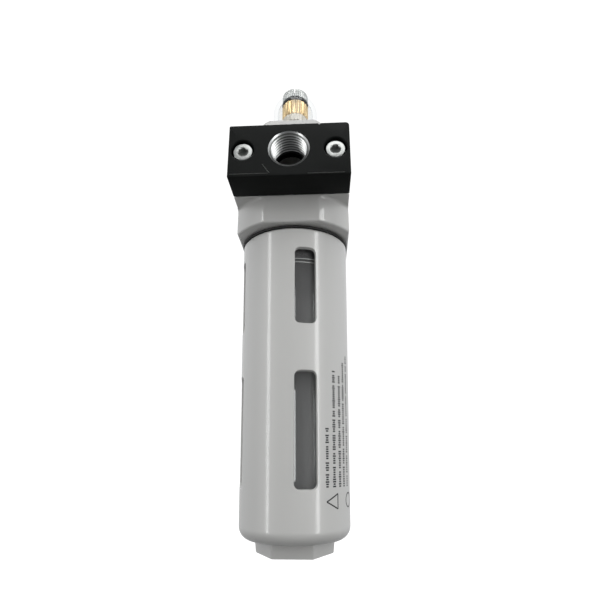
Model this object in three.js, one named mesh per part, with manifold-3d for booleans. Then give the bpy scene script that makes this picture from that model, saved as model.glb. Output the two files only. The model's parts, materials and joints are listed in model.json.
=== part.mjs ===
// Compressed-air oil-mist lubricator with bolt-on port plates, as an assembly of separate solids.
// Millimetres, +Z up. The origin is the centre of the guard's spanner hexagon, on its bottom face.
// Air flows along +Y, from the front port to the rear port. X is the width across the flat sides.
import * as THREE from "three";
import { mergeVertices } from "three/addons/utils/BufferGeometryUtils.js";
import Module from "manifold-3d";

const wasm = await Module();
wasm.setup();

// ---------------------------------------------------------------- driving dimensions

// The lengths below are millimetres at the 3/8 inch port size. This part is the 1/4 inch size of the same
// shape: SIZE scales the finished assembly, so that the drawn 16.66 mm thread becomes a 13.16 mm one.
const SIZE = 0.79;

const ROUND = 36; // facets round a large turned piece
const MEDIUM_ROUND = 32; // facets round a piece of about 15 mm
const SMALL_ROUND = 20; // facets round a small one
const HOLE_ROUND = 12; // facets round a drilled hole or a pin
const GAP = 0.3; // clearance between pieces that rest on each other
const SLIP = 0.15; // clearance round a pin, tube or spigot in its hole
const OVER = 1; // how far a cutter runs past the face it opens, and a joined block runs into its neighbour

const BODY = { halfX: 26, halfY: 27.9, trimR: 30.5, deckZ: 184, shoulderZ: 173.8 };
const PLATE = { z0: 146.9, z1: 172.9, thick: 15.5 };
const PORT = { z: 160.2, threadR: 8.33, mouthR: 8.9, depth: 13, channelR: 7.6, passR: 7 };
const PORT_SEAL = { inR: 9.5, outR: 11.9, thick: 1.7, grooveDepth: 1.8, squeeze: 0.1 };
const COLLAR = { z0: 133.9, cavityR: 24.1, cavityZ: 149.4 };
const BRIDGE = { topZ: 188.2, topHalf: 10.5, slope: 1.95 };
const BOSS = { r: 15.5, topZ: 195, socketR: 11.8, socketZ: 186, sealR: 13.5, sealZ: 193.5 };
const SCREW = {
  x: 19.85, headR: 4.25, headH: 5, sinkR: 5, sink: 1.2, rim: 0.4,
  shankR: 2.5, shankLength: 20, holeDepth: 15, keyAF: 4, keyDepth: 2.6,
};

const HEX = { r: 16, h: 5.2, drainR: 5 };
const GUARD = {
  rTop: 24.96, rLow: 22.7, topZ: 132.35, lowZ: 10.4, wall: 1.7, neckR: 23.7, neckInR: 22, neckZ: 143,
  shoulderZ: 129, taperZ: 126, footR: 17.5, floorZ: 7.8, recessR: 13, recessH: 0.5,
};
const SLOT = { width: 9.1, r: 2.2, turn: 14.3, depth: 12, upper: [89.2, 122.9], lower: [24.7, 69] };
const RING = { inR: 23.95, outR: 25.4, z0: 132.55, z1: 133.65 };
const BOWL = {
  floorZ: 8.4, lowR: 20.1, cornerR: 15.2, cornerZ: 13.3, wall: 2.3, wellR: 14, wellZ: 14.5,
  neckR: 21.6, neckZ: 128, taperZ: 139, seatR: 17.9, seatZ: 143,
  flangeR: 23.4, flangeZ: 143.4, flangeTopZ: 146, spigotR: 20, topZ: 149,
};
const GUARD_CORNER = 0.4; // clearance between the rounded foot of the bowl and the guard round it

const PICKUP_X = -10.2;
const FITTING = {
  r: 4.4, z0: 136, shoulderZ: 147.3, spigotR: 2.9, topZ: 155, boreR: 1,
  chamberR: 1.95, chamberZ0: 141.2, chamberZ1: 146, seatR: 1.1, socketR: 2.1, socketZ: 140.1,
};
const TUBE = { r: 2, boreR: 1.2, z0: 22, z1: 139.8 };
const STRAINER = { r: 3.8, z0: 14.5, z1: 26, chamfer: 0.6, socketR: 2.15, socketZ: 21.6 };
const BALL = { r: 1.5, z: 142.35 };
const BAFFLE = {
  r: 17.2, wall: 1.6, z0: 134, discZ: 147.6, holeR: 3,
  windowZ: [138, 144], windowWidth: 4, screwX: 11, screwY: 5,
};
const PAN = { headR: 2.7, headH: 2, crown: 0.5, shankR: 1.45, length: 8 };

const INSERT = { r: 7.4, inletR: 6.2, throatR: 4.8, half: 9, stepY: -1, dripR: 1.2 };
const FLAP = {
  pinY: -4.5, pinZ: 164.2, pinR: 0.5, pinHalf: 5.7,
  discZ: 159.6, discR: 4.4, half: 0.4, knuckleR: 0.9, knuckleHalf: 3.1,
};

const DOME = {
  r: 12, wall: 2.4, z0: 187, spigotR: 11.5, flangeR: 13.6, flangeZ: 197, shoulderZ: 198,
  arcR: 8.9, arcZ: 215, neckR: 7.4, neckTopR: 8.3,
};
const DRIP = { r: 9.2, z0: 186.3, rimZ: 191, slopeR: 4, slopeZ: 189.6, holeR: 1.5, holeZ: 188.6 };
const RISER = { x: -4.8, r: 1, boreR: 0.6, z0: 188.3, channelR: 1.3 };
const METER = {
  bodyR: 7.1, fluteDepth: 0.8, flutes: 20, z0: 211.2,
  sealZ0: 220.25, sealZ1: 222, sealInR: 5.4, sealOutR: 7.2,
  stemR: 1.9, stemBoreR: 1.4, stemZ0: 214.3, stemBoreZ: 218.2, valveR: 1.5, valveZ: 214,
  headR: 7, topZ: 227.7, chamfer: 0.7, notchWidth: 0.8, notchDepth: 1.9,
};
const NEEDLE = { r: 1.25, tipR: 0.5, tipZ: 212, coneZ: 214.2, topZ: 217.2, point: 0.8 };
const NOZZLE = {
  r: 6.9, fluteDepth: 0.5, coneZ0: 205, coneZ1: 207.6, spoutR: 1.8, spoutZ: 203.2, boreR: 0.7,
};
const FILLER = {
  x: 13, y: 18.8, bossR: 7.2, seatZ: 190.5, holeR: 5.1, holeZ: 178,
  headR: 6.6, topZ: 196.4, chamfer: 0.6,
  shankR: 4.9, shankZ: 180.5, keyAF: 6, keyDepth: 3, sealOutR: 6.4, sealThick: 1.25,
};
const FILL_WAY = { r: 1.7, from: [12.5, FILLER.y, 181], to: [11.3, 8, COLLAR.cavityZ - 3] };

// ---------------------------------------------------------------- solids

function toSolid(geometry) {
  const bare = geometry.clone();
  bare.deleteAttribute("normal");
  bare.deleteAttribute("uv");
  const merged = mergeVertices(bare, 1e-4);
  const index = Array.from(merged.index.array);
  const faces = [];
  for (let i = 0; i < index.length; i += 3) {
    const [a, b, c] = index.slice(i, i + 3);
    if (a !== b && b !== c && a !== c) faces.push(a, b, c);
  }
  const vertProperties = merged.attributes.position.array;
  return new wasm.Manifold(
    new wasm.Mesh({ numProp: 3, vertProperties, triVerts: new Uint32Array(faces) }),
  );
}

function toGeometry(solid) {
  const mesh = solid.getMesh();
  const geometry = new THREE.BufferGeometry();
  geometry.setAttribute("position", new THREE.BufferAttribute(mesh.vertProperties, 3));
  geometry.setIndex(new THREE.BufferAttribute(mesh.triVerts, 1));
  geometry.computeVertexNormals();
  return geometry;
}

const join = (first, ...others) => others.reduce((sum, next) => sum.add(next), first);
const cut = (first, ...others) => others.reduce((rest, next) => rest.subtract(next), first);

function signedArea(outline) {
  return outline.reduce((sum, [r, z], i) => {
    const [r2, z2] = outline[(i + 1) % outline.length];
    return sum + (r * z2 - r2 * z) / 2;
  }, 0);
}

// A closed outline of [radius, height] pairs turned about the Z axis.
function turned(outline, segments = ROUND) {
  const anticlockwise = signedArea(outline) > 0 ? outline : [...outline].reverse();
  const start = anticlockwise.findIndex(([r], i) => {
    const [before] = anticlockwise.at(i - 1);
    return r === 0 && before === 0;
  });
  const onAxis = start >= 0;
  const ordered = onAxis
    ? [...anticlockwise.slice(start), ...anticlockwise.slice(0, start)]
    : [...anticlockwise, anticlockwise[0]];
  const points = ordered.map(([r, z]) => new THREE.Vector2(r, z));
  return toSolid(new THREE.LatheGeometry(points, segments).rotateX(Math.PI / 2));
}

const rod = (r, z0, z1, segments) =>
  turned([[0, z0], [r, z0], [r, z1], [0, z1]], segments);

const ring = (inner, outer, z0, z1, segments) =>
  turned([[inner, z0], [outer, z0], [outer, z1], [inner, z1]], segments);

function box(x0, x1, y0, y1, z0, z1) {
  const geometry = new THREE.BoxGeometry(x1 - x0, y1 - y0, z1 - z0);
  return toSolid(geometry.translate((x0 + x1) / 2, (y0 + y1) / 2, (z0 + z1) / 2));
}

// A solid made along Z, laid along Y so that its +Z end points to -Y, with its axis at height z.
function alongY(solid, z, x = 0) {
  const geometry = toGeometry(solid).rotateX(Math.PI / 2).translate(x, 0, z);
  return toSolid(geometry);
}

// A flat shape in X and Z, as thick as depth, standing from y to y - depth.
function upright(shape, depth, y = 0) {
  const settings = { depth, bevelEnabled: false, curveSegments: 4 };
  return toSolid(new THREE.ExtrudeGeometry(shape, settings).rotateX(Math.PI / 2).translate(0, y, 0));
}

// A rod of length 2 * half along X, its middle at y and z.
function alongX(r, half, y, z) {
  const geometry = new THREE.CylinderGeometry(r, r, 2 * half, HOLE_ROUND);
  return toSolid(geometry.rotateZ(Math.PI / 2).translate(0, y, z));
}

// A prism from z0 to z1 with a star of shallow flutes round it.
function fluted(r, depth, count, z0, z1) {
  const shape = new THREE.Shape();
  for (let i = 0; i < 2 * count; i++) {
    const radius = i % 2 ? r - depth : r;
    const angle = (Math.PI * i) / count;
    shape[i ? "lineTo" : "moveTo"](radius * Math.cos(angle), radius * Math.sin(angle));
  }
  const geometry = new THREE.ExtrudeGeometry(shape, { depth: z1 - z0, bevelEnabled: false });
  return toSolid(geometry.translate(0, 0, z0));
}

function hexPrism(acrossFlats, z0, z1) {
  const r = acrossFlats / Math.sqrt(3);
  const geometry = new THREE.CylinderGeometry(r, r, z1 - z0, 6, 1, false, Math.PI / 6);
  return toSolid(geometry.rotateX(Math.PI / 2).translate(0, 0, (z0 + z1) / 2));
}

// Points [r, z] on a circular arc in the turning plane, angles in degrees above horizontal.
function arc(centreR, centreZ, r, from, to, steps) {
  return Array.from({ length: steps + 1 }, (_, i) => {
    const a = THREE.MathUtils.degToRad(from + ((to - from) * i) / steps);
    return [centreR + r * Math.cos(a), centreZ + r * Math.sin(a)];
  });
}

// ---------------------------------------------------------------- materials

const finish = (color, roughness, metalness) =>
  new THREE.MeshStandardMaterial({ color, roughness, metalness });

const greyPaint = finish(0xb9bcbb, 0.4, 0.1);
const blackPaint = finish(0x1b1d1c, 0.5, 0.1);
const zincSteel = finish(0xc4c6c4, 0.35, 1);
const brass = finish(0xc9a25b, 0.3, 1);
const bronze = finish(0x9c7a4a, 0.8, 0.6);
const rubber = finish(0x151515, 0.8, 0);
const blackPlastic = finish(0x202122, 0.6, 0);
const whitePlastic = finish(0xd9dad6, 0.5, 0);
const clearPlastic = finish(0xe9eef0, 0.1, 0);
clearPlastic.transparent = true;
clearPlastic.opacity = 0.35;

// ---------------------------------------------------------------- housing and port plates

// The body's footprint: a rectangle, its corners trimmed to a circle where it stands clear of the plates.
function footprint(z0, z1, trimmed) {
  const block = box(-BODY.halfX, BODY.halfX, -BODY.halfY, BODY.halfY, z0, z1);
  return trimmed ? block.intersect(rod(BODY.trimR, z0 - 1, z1 + 1, 2 * ROUND)) : block;
}

// The raised deck under the boss: sloped flanks on the sides, round ends with flats at the front and rear.
function bridge() {
  const rise = BRIDGE.topZ - BODY.deckZ;
  const foot = BRIDGE.topHalf + BRIDGE.slope * rise;
  const shape = new THREE.Shape();
  shape.moveTo(-foot, BODY.deckZ - OVER);
  shape.lineTo(foot, BODY.deckZ - OVER);
  shape.lineTo(foot, BODY.deckZ);
  shape.lineTo(BRIDGE.topHalf, BRIDGE.topZ);
  shape.lineTo(-BRIDGE.topHalf, BRIDGE.topZ);
  shape.lineTo(-foot, BODY.deckZ);
  const round = rod(BODY.trimR, BODY.deckZ - OVER, BRIDGE.topZ, 2 * ROUND);
  return upright(shape, 2 * BODY.halfY, BODY.halfY).intersect(round);
}

// The slanted way from under the filler plug, past the air channel, to the bowl.
function fillPassage() {
  const from = new THREE.Vector3(...FILL_WAY.from);
  const to = new THREE.Vector3(...FILL_WAY.to);
  const along = to.clone().sub(from);
  const geometry = new THREE.CylinderGeometry(FILL_WAY.r, FILL_WAY.r, along.length(), SMALL_ROUND);
  const turn = new THREE.Quaternion().setFromUnitVectors(
    new THREE.Vector3(0, 1, 0),
    along.clone().normalize(),
  );
  const middle = from.clone().add(to).multiplyScalar(0.5);
  return toSolid(geometry.applyQuaternion(turn).translate(middle.x, middle.y, middle.z));
}

// The solid block before its holes: collar, square middle, trimmed shoulder, deck, bosses.
function castBlock() {
  return join(
    footprint(COLLAR.z0, PLATE.z0 + OVER / 2, true),
    footprint(PLATE.z0, BODY.shoulderZ, false),
    footprint(BODY.shoulderZ - OVER / 2, BODY.deckZ, true),
    bridge(),
    rod(BOSS.r, BRIDGE.topZ - OVER, BOSS.topZ),
    rod(FILLER.bossR, BODY.deckZ - OVER, FILLER.seatZ, MEDIUM_ROUND).translate(FILLER.x, FILLER.y, 0),
  );
}

// The seal groove and the two screw holes in the face behind a port plate, on the -Y or the +Y side.
function plateSeat(side) {
  const { inR, outR, grooveDepth } = PORT_SEAL;
  const groove = ring(inR - SLIP, outR + SLIP, -grooveDepth, grooveDepth);
  const hole = rod(SCREW.shankR + SLIP, -SCREW.holeDepth, SCREW.holeDepth, SMALL_ROUND);
  const holes = [-SCREW.x, SCREW.x].map((x) => alongY(hole, PORT.z, x));
  return join(alongY(groove, PORT.z), ...holes).translate(0, side * BODY.halfY, 0);
}

// The holes in the ceiling of the bowl's cavity, for the baffle's screws and the pickup fitting.
function ceilingHoles() {
  const z0 = COLLAR.cavityZ - OVER;
  const spigot = rod(FITTING.spigotR + SLIP, z0, FITTING.topZ + GAP, SMALL_ROUND).translate(PICKUP_X, 0, 0);
  const riser = rod(RISER.channelR, FITTING.topZ, BOSS.socketZ + OVER, HOLE_ROUND).translate(PICKUP_X, 0, 0);
  const depth = BAFFLE.discZ + PAN.length + OVER;
  const screws = [-BAFFLE.screwY, BAFFLE.screwY].map((y) =>
    rod(PAN.shankR + SLIP, z0, depth, HOLE_ROUND).translate(BAFFLE.screwX, y, 0),
  );
  return join(spigot, riser, ...screws);
}

function housing() {
  return cut(
    castBlock(),
    alongY(rod(PORT.channelR, -BODY.halfY - OVER, BODY.halfY + OVER), PORT.z),
    plateSeat(-1),
    plateSeat(1),
    rod(COLLAR.cavityR, COLLAR.z0 - OVER, COLLAR.cavityZ),
    ceilingHoles(),
    rod(BOSS.socketR, BOSS.socketZ, BOSS.topZ + OVER),
    rod(BOSS.sealR, BOSS.sealZ, BOSS.topZ + OVER),
    rod(INSERT.dripR, PORT.z, BOSS.socketZ + OVER, HOLE_ROUND),
    rod(FILLER.holeR, FILLER.holeZ, FILLER.seatZ + OVER, MEDIUM_ROUND).translate(FILLER.x, FILLER.y, 0),
    fillPassage(),
  );
}

// A port plate at the front of the body, facing -Y.
function portPlate() {
  const face = -(BODY.halfY + GAP + PLATE.thick);
  const slab = box(-BODY.halfX, BODY.halfX, face, face + PLATE.thick, PLATE.z0, PLATE.z1);
  const chamfer = PORT.mouthR - PORT.threadR;
  const port = turned([
    [0, -PLATE.thick - OVER],
    [PORT.passR, -PLATE.thick - OVER],
    [PORT.passR, -PORT.depth],
    [PORT.threadR, -PORT.depth],
    [PORT.threadR, -chamfer],
    [PORT.mouthR, 0],
    [PORT.mouthR, OVER],
    [0, OVER],
  ]);
  const screwHole = join(
    rod(SCREW.sinkR, -(SCREW.sink + SCREW.headH + GAP), OVER, MEDIUM_ROUND),
    rod(SCREW.shankR + SLIP, -PLATE.thick - OVER, 0, SMALL_ROUND),
  );
  const holes = [-SCREW.x, SCREW.x].map((x) => alongY(screwHole, PORT.z, x));
  return cut(slab, join(alongY(port, PORT.z), ...holes).translate(0, face, 0));
}

// The O-ring behind a port plate, centred on the origin.
const portSeal = () =>
  alongY(ring(PORT_SEAL.inR, PORT_SEAL.outR, -PORT_SEAL.thick / 2, PORT_SEAL.thick / 2), 0);

// A socket-head cap screw, its head's top face at the origin and its shank down -Z.
function capScrew() {
  const end = -SCREW.headH - SCREW.shankLength;
  const point = SCREW.shankR / 5;
  const body = turned(
    [
      [0, end],
      [SCREW.shankR - point, end],
      [SCREW.shankR, end + point],
      [SCREW.shankR, -SCREW.headH],
      [SCREW.headR, -SCREW.headH],
      [SCREW.headR, -SCREW.rim],
      [SCREW.headR - SCREW.rim, 0],
      [0, 0],
    ],
    SMALL_ROUND,
  );
  return cut(body, hexPrism(SCREW.keyAF, -SCREW.keyDepth, OVER));
}

// ---------------------------------------------------------------- bowl and guard

const guardR = (z) =>
  GUARD.rLow + ((GUARD.rTop - GUARD.rLow) * (z - GUARD.lowZ)) / (GUARD.topZ - GUARD.lowZ);

// A cutter for one slot of the guard: a long rounded opening, turned by an angle about Z.
function guardSlot([z0, z1], angle) {
  const right = SLOT.width / 2 - SLOT.r;
  const shape = new THREE.Shape();
  shape.absarc(right, z0 + SLOT.r, SLOT.r, -Math.PI / 2, 0);
  shape.absarc(right, z1 - SLOT.r, SLOT.r, 0, Math.PI / 2);
  shape.absarc(-right, z1 - SLOT.r, SLOT.r, Math.PI / 2, Math.PI);
  shape.absarc(-right, z0 + SLOT.r, SLOT.r, Math.PI, 1.5 * Math.PI);
  const middle = -(GUARD.rLow + GUARD.rTop - GUARD.wall) / 2;
  return upright(shape, SLOT.depth, middle + SLOT.depth / 2).rotate([0, 0, angle]);
}

// The guard's wall and foot: a slightly tapered tube with a rounded foot and a narrower neck.
function guardShell() {
  const footR = GUARD.rLow - GUARD.footR;
  const cornerR = BOWL.lowR - BOWL.cornerR + GUARD_CORNER;
  return turned([
    [HEX.drainR, HEX.h - GUARD.recessH],
    [GUARD.recessR, HEX.h - GUARD.recessH],
    [GUARD.recessR, HEX.h],
    ...arc(GUARD.footR, GUARD.lowZ, footR, -90, 0, 6),
    [GUARD.rTop, GUARD.topZ],
    [GUARD.neckR, GUARD.topZ],
    [GUARD.neckR, GUARD.neckZ],
    [GUARD.neckInR, GUARD.neckZ],
    [GUARD.neckInR, GUARD.shoulderZ],
    [guardR(GUARD.taperZ) - GUARD.wall, GUARD.taperZ],
    [GUARD.rLow - GUARD.wall, BOWL.cornerZ],
    ...arc(BOWL.cornerR, BOWL.cornerZ, cornerR, 0, -90, 5),
    [HEX.drainR, GUARD.floorZ],
  ]);
}

function bowlGuard() {
  const nut = hexPrism(HEX.r * Math.sqrt(3), 0, HEX.h + GAP);
  const boss = cut(nut, rod(HEX.drainR, -OVER, HEX.h + OVER));
  const slots = [0, 90, 180, 270].flatMap((quarter) =>
    [SLOT.upper, SLOT.lower].map((span) => guardSlot(span, SLOT.turn + quarter)),
  );
  return cut(join(guardShell(), boss), ...slots);
}

// The bowl: a tapered cup with a rounded foot, a neck, a flange and a spigot inside the body's collar.
function bowl() {
  const wellR = BOWL.lowR - BOWL.wall - BOWL.wellR;
  return turned([
    [0, BOWL.floorZ],
    [BOWL.cornerR, BOWL.floorZ],
    ...arc(BOWL.cornerR, BOWL.cornerZ, BOWL.lowR - BOWL.cornerR, -75, 0, 5),
    [BOWL.neckR, BOWL.neckZ],
    [BOWL.neckR, BOWL.flangeZ],
    [BOWL.flangeR, BOWL.flangeZ],
    [BOWL.flangeR, BOWL.flangeTopZ],
    [BOWL.spigotR, BOWL.flangeTopZ],
    [BOWL.spigotR, BOWL.topZ],
    [BOWL.seatR, BOWL.topZ],
    [BOWL.seatR, BOWL.seatZ],
    [BOWL.neckR - BOWL.wall, BOWL.taperZ],
    [BOWL.lowR - BOWL.wall, BOWL.wellZ],
    ...arc(BOWL.wellR, BOWL.wellZ, wellR, -15, -90, 4),
    [0, BOWL.wellZ - wellR],
  ]);
}

// The O-ring round the bowl's spigot, squeezed against the ceiling of the collar's cavity.
const bowlSeal = () =>
  ring(BOWL.spigotR + SLIP, BOWL.flangeR - GAP, BOWL.flangeTopZ + SLIP, COLLAR.cavityZ - GAP);

// ---------------------------------------------------------------- oil pickup, inside the bowl

// A skirt under the body that keeps the mist off the oil's surface.
function mistBaffle() {
  const topZ = COLLAR.cavityZ - GAP;
  const skirt = turned([
    [BAFFLE.r - BAFFLE.wall, BAFFLE.z0],
    [BAFFLE.r, BAFFLE.z0],
    [BAFFLE.r, topZ],
    [BAFFLE.holeR, topZ],
    [BAFFLE.holeR, BAFFLE.discZ],
    [BAFFLE.r - BAFFLE.wall, BAFFLE.discZ],
  ]);
  const reach = BAFFLE.r + OVER;
  const half = BAFFLE.windowWidth / 2;
  const windows = [30, 90, 150].map((angle) =>
    box(-reach, reach, -half, half, ...BAFFLE.windowZ).rotate([0, 0, angle]),
  );
  const [z0, z1] = [BAFFLE.discZ - OVER, topZ + OVER];
  const screwHoles = [-BAFFLE.screwY, BAFFLE.screwY].map((y) =>
    rod(PAN.shankR + SLIP, z0, z1, HOLE_ROUND).translate(BAFFLE.screwX, y, 0),
  );
  const spigotHole = rod(FITTING.spigotR + GAP, z0, z1, SMALL_ROUND).translate(PICKUP_X, 0, 0);
  return cut(skirt, ...windows, ...screwHoles, spigotHole);
}

// A pan-head screw, the underside of its head at the origin and its shank up +Z.
const panScrew = () =>
  turned(
    [
      [0, -PAN.headH],
      [PAN.headR - PAN.crown, -PAN.headH],
      [PAN.headR, -PAN.headH + PAN.crown],
      [PAN.headR, 0],
      [PAN.shankR, 0],
      [PAN.shankR, PAN.length],
      [0, PAN.length],
    ],
    SMALL_ROUND,
  );

// The fitting screwed into the ceiling: a socket for the tube, the ball's seat and chamber, and a spigot.
const pickupFitting = () =>
  turned(
    [
      [FITTING.socketR, FITTING.z0],
      [FITTING.r, FITTING.z0],
      [FITTING.r, FITTING.shoulderZ],
      [FITTING.spigotR, FITTING.shoulderZ],
      [FITTING.spigotR, FITTING.topZ],
      [FITTING.boreR, FITTING.topZ],
      [FITTING.boreR, FITTING.chamberZ1],
      [FITTING.chamberR, FITTING.chamberZ1],
      [FITTING.chamberR, FITTING.chamberZ0],
      [FITTING.seatR, FITTING.chamberZ0],
      [FITTING.seatR, FITTING.socketZ],
      [FITTING.socketR, FITTING.socketZ],
    ],
    SMALL_ROUND,
  );

const pickupTube = () => ring(TUBE.boreR, TUBE.r, TUBE.z0, TUBE.z1, SMALL_ROUND);

const strainer = () =>
  turned(
    [
      [0, STRAINER.z0],
      [STRAINER.r - STRAINER.chamfer, STRAINER.z0],
      [STRAINER.r, STRAINER.z0 + STRAINER.chamfer],
      [STRAINER.r, STRAINER.z1 - STRAINER.chamfer],
      [STRAINER.r - STRAINER.chamfer, STRAINER.z1],
      [STRAINER.socketR, STRAINER.z1],
      [STRAINER.socketR, STRAINER.socketZ],
      [0, STRAINER.socketZ],
    ],
    SMALL_ROUND,
  );

// ---------------------------------------------------------------- air channel

// A sleeve in the air channel: a wide inlet that holds the damper, then the throat the oil drips into.
function flowInsert() {
  const sleeve = turned(
    [
      [INSERT.inletR, -INSERT.stepY],
      [INSERT.inletR, INSERT.half],
      [INSERT.r, INSERT.half],
      [INSERT.r, -INSERT.half],
      [INSERT.throatR, -INSERT.half],
      [INSERT.throatR, -INSERT.stepY],
    ],
    MEDIUM_ROUND,
  );
  return cut(
    alongY(sleeve, PORT.z),
    alongX(FLAP.pinR + SLIP, INSERT.r + OVER, FLAP.pinY, FLAP.pinZ),
    rod(INSERT.dripR, PORT.z, PORT.z + INSERT.r + OVER, HOLE_ROUND),
  );
}

// The flexible disc that hangs across the inlet, with the knuckle it swings on.
function damperFlap() {
  const disc = alongY(rod(FLAP.discR, -FLAP.half, FLAP.half, SMALL_ROUND), FLAP.discZ);
  const knuckle = alongX(FLAP.knuckleR, FLAP.knuckleHalf, FLAP.pinY, FLAP.pinZ);
  const hole = alongX(FLAP.pinR + SLIP, FLAP.knuckleHalf + OVER, FLAP.pinY, FLAP.pinZ);
  return cut(join(disc.translate(0, FLAP.pinY, 0), knuckle), hole);
}

const flapPin = () => alongX(FLAP.pinR, FLAP.pinHalf, FLAP.pinY, FLAP.pinZ);

// ---------------------------------------------------------------- sight dome and metering screw

// The angle at which an arc of radius r about a centre at centreR passes the radius atR.
const arcAngle = (centreR, r, atR) => THREE.MathUtils.radToDeg(Math.acos((atR - centreR) / r));

function sightDome() {
  const centre = DOME.r - DOME.arcR;
  const inner = DOME.r - DOME.wall;
  const innerArc = DOME.arcR - DOME.wall;
  const neckArc = arc(centre, DOME.arcZ, DOME.arcR, 0, arcAngle(centre, DOME.arcR, DOME.neckTopR), 6);
  const restZ = BOSS.topZ + GAP;
  return turned([
    [inner, DOME.z0],
    [DOME.spigotR, DOME.z0],
    [DOME.spigotR, restZ],
    [DOME.flangeR, restZ],
    [DOME.flangeR, DOME.flangeZ],
    [DOME.r, DOME.shoulderZ],
    ...neckArc,
    [DOME.neckR, neckArc.at(-1)[1]],
    ...arc(centre, DOME.arcZ, innerArc, arcAngle(centre, innerArc, DOME.neckR), 0, 5),
  ]);
}

const domeSeal = () =>
  ring(DOME.spigotR + SLIP, BOSS.sealR - SLIP, BOSS.sealZ + SLIP, BOSS.topZ + SLIP);

// The floor of the sight chamber, with the drip hole in its middle and the riser's socket beside it.
function dripBase() {
  const dish = turned(
    [
      [DRIP.holeR, DRIP.z0],
      [DRIP.r, DRIP.z0],
      [DRIP.r, DRIP.rimZ],
      [DRIP.slopeR, DRIP.slopeZ],
      [DRIP.holeR, DRIP.holeZ],
    ],
    MEDIUM_ROUND,
  );
  const socket = join(
    rod(RISER.boreR, DRIP.z0 - OVER, RISER.z0, HOLE_ROUND),
    rod(RISER.r + SLIP, RISER.z0 - GAP, DRIP.rimZ + OVER, HOLE_ROUND),
  );
  return cut(dish, socket.translate(RISER.x, 0, 0));
}

const riserTube = () =>
  ring(RISER.boreR, RISER.r, RISER.z0, METER.z0 - 2 * GAP, HOLE_ROUND).translate(RISER.x, 0, 0);

// The fluted body that fills the dome's neck, with a narrower stem inside the seal.
function meteringBody() {
  const stem = rod(METER.sealInR - SLIP, METER.sealZ0 - OVER, METER.sealZ1 - SLIP, MEDIUM_ROUND);
  return cut(
    join(fluted(METER.bodyR, METER.fluteDepth, METER.flutes, METER.z0, METER.sealZ0), stem),
    rod(METER.stemR + SLIP, METER.valveZ, METER.sealZ1 + OVER, SMALL_ROUND),
    rod(METER.valveR, METER.z0 - OVER, METER.valveZ + OVER, SMALL_ROUND),
  );
}

const meteringSeal = () =>
  ring(METER.sealInR, METER.sealOutR, METER.sealZ0 + SLIP, METER.sealZ1 - SLIP);

// The notch across the head's top face and down both of its sides, for a blade or a fingernail.
function headNotches(z) {
  const half = METER.notchWidth / 2;
  const reach = METER.headR + OVER;
  const top = box(-half, half, -reach, reach, METER.topZ - METER.notchDepth, METER.topZ + OVER);
  const side = box(-half, half, -reach, METER.notchDepth - METER.headR, z - OVER, METER.topZ + OVER);
  return join(top, side, side.rotate([0, 0, 180]));
}

// The slotted head turns above the dome's neck; the needle's top runs up inside its hollow stem.
function meteringScrew() {
  const z = METER.sealZ1 + SLIP;
  const knob = turned(
    [
      [METER.stemBoreR, METER.stemZ0],
      [METER.stemR, METER.stemZ0],
      [METER.stemR, z],
      [METER.headR, z],
      [METER.headR, METER.topZ - METER.chamfer],
      [METER.headR - METER.chamfer, METER.topZ],
      [0, METER.topZ],
      [0, METER.stemBoreZ],
      [METER.stemBoreR, METER.stemBoreZ],
    ],
    MEDIUM_ROUND,
  );
  return cut(knob, headNotches(z));
}

const needle = () =>
  turned(
    [
      [0, NEEDLE.tipZ],
      [NEEDLE.tipR, NEEDLE.tipZ + NEEDLE.point],
      [NEEDLE.r, NEEDLE.coneZ],
      [NEEDLE.r, NEEDLE.topZ],
      [0, NEEDLE.topZ],
    ],
    SMALL_ROUND,
  );

// The pale fluted cup under the metering body, drawn down to a spout, with the riser's hole in it.
function dripNozzle() {
  const topZ = METER.z0 - GAP;
  const cup = fluted(NOZZLE.r, NOZZLE.fluteDepth, METER.flutes, NOZZLE.coneZ0, topZ);
  const funnel = turned([
    [0, NOZZLE.spoutZ],
    [NOZZLE.spoutR, NOZZLE.spoutZ],
    [NOZZLE.spoutR, NOZZLE.coneZ0],
    [NOZZLE.r + OVER, NOZZLE.coneZ1],
    [NOZZLE.r + OVER, topZ],
    [0, topZ],
  ]);
  const spout = rod(NOZZLE.spoutR, NOZZLE.spoutZ, NOZZLE.coneZ1, SMALL_ROUND);
  const riserHole = rod(RISER.r + SLIP, NOZZLE.spoutZ, topZ + OVER, HOLE_ROUND);
  return cut(
    join(cup.intersect(funnel), spout),
    rod(NOZZLE.boreR, NOZZLE.spoutZ - OVER, topZ + OVER, HOLE_ROUND),
    riserHole.translate(RISER.x, 0, 0),
  );
}

// ---------------------------------------------------------------- filler plug

const fillerSealTop = FILLER.seatZ + SLIP + FILLER.sealThick;

const fillerSeal = () =>
  ring(FILLER.shankR + SLIP, FILLER.sealOutR, FILLER.seatZ + SLIP, fillerSealTop, MEDIUM_ROUND);

// The plug's head rests on its O-ring, over the threaded hole in the body.
function fillerPlug() {
  const under = fillerSealTop + SLIP;
  const plug = turned(
    [
      [0, FILLER.shankZ],
      [FILLER.shankR - FILLER.chamfer, FILLER.shankZ],
      [FILLER.shankR, FILLER.shankZ + FILLER.chamfer],
      [FILLER.shankR, under],
      [FILLER.headR, under],
      [FILLER.headR, FILLER.topZ - FILLER.chamfer],
      [FILLER.headR - FILLER.chamfer, FILLER.topZ],
      [0, FILLER.topZ],
    ],
    MEDIUM_ROUND,
  );
  return cut(plug, hexPrism(FILLER.keyAF, FILLER.topZ - FILLER.keyDepth, FILLER.topZ + OVER));
}

// ---------------------------------------------------------------- assembly

const lubricator = new THREE.Group();
lubricator.scale.setScalar(SIZE);

function place(name, solid, material, parent = lubricator) {
  const mesh = new THREE.Mesh(toGeometry(solid), material);
  mesh.name = name;
  parent.add(mesh);
  return mesh;
}

place("housing", housing(), greyPaint);

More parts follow.
